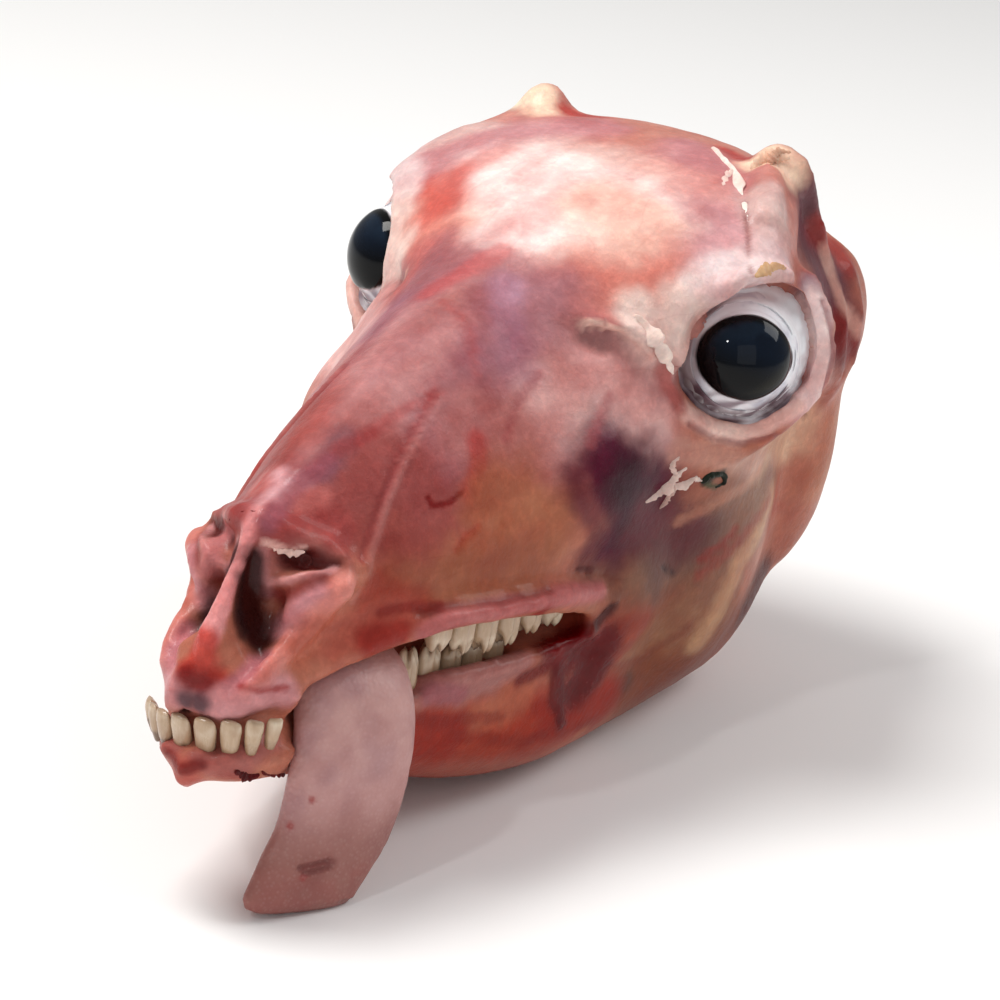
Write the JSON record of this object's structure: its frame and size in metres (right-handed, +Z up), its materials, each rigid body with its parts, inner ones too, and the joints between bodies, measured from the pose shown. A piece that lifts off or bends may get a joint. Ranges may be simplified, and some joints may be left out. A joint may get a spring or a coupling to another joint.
{
  "type": "goat head",
  "caption": "Raw skinned goat head with its eyes and teeth in place and the tongue hanging out of the left side of the mouth.",
  "frame": {"origin": "middle of the bounding box, on the floor plane under the jaw", "axes": "+Z up, -Y towards the muzzle, +X towards the goat's left side, where the tongue hangs"},
  "size_m": [0.1262, 0.2516, 0.1493],
  "materials": {
    "flesh": "satin",
    "tongue": "satin",
    "eye": "gloss",
    "tooth": "satin"
  },
  "bodies": {
    "root": {"head": "flesh", "tongue": "tongue", "eye_left": "eye", "eye_right": "eye", "incisor_left_1": "tooth", "incisor_left_2": "tooth", "incisor_left_3": "tooth", "incisor_left_4": "tooth", "upper_tooth_left_1": "tooth", "upper_tooth_left_2": "tooth", "upper_tooth_left_3": "tooth", "upper_tooth_left_4": "tooth", "upper_tooth_left_5": "tooth", "upper_tooth_left_6": "tooth", "lower_tooth_left_1": "tooth", "lower_tooth_left_2": "tooth", "lower_tooth_left_3": "tooth", "lower_tooth_left_4": "tooth", "lower_tooth_left_5": "tooth", "incisor_right_1": "tooth", "incisor_right_2": "tooth", "incisor_right_3": "tooth", "incisor_right_4": "tooth", "upper_tooth_right_1": "tooth", "upper_tooth_right_2": "tooth", "upper_tooth_right_3": "tooth", "upper_tooth_right_4": "tooth", "upper_tooth_right_5": "tooth", "upper_tooth_right_6": "tooth", "lower_tooth_right_1": "tooth", "lower_tooth_right_2": "tooth", "lower_tooth_right_3": "tooth", "lower_tooth_right_4": "tooth", "lower_tooth_right_5": "tooth"}
  },
  "joints": []
}
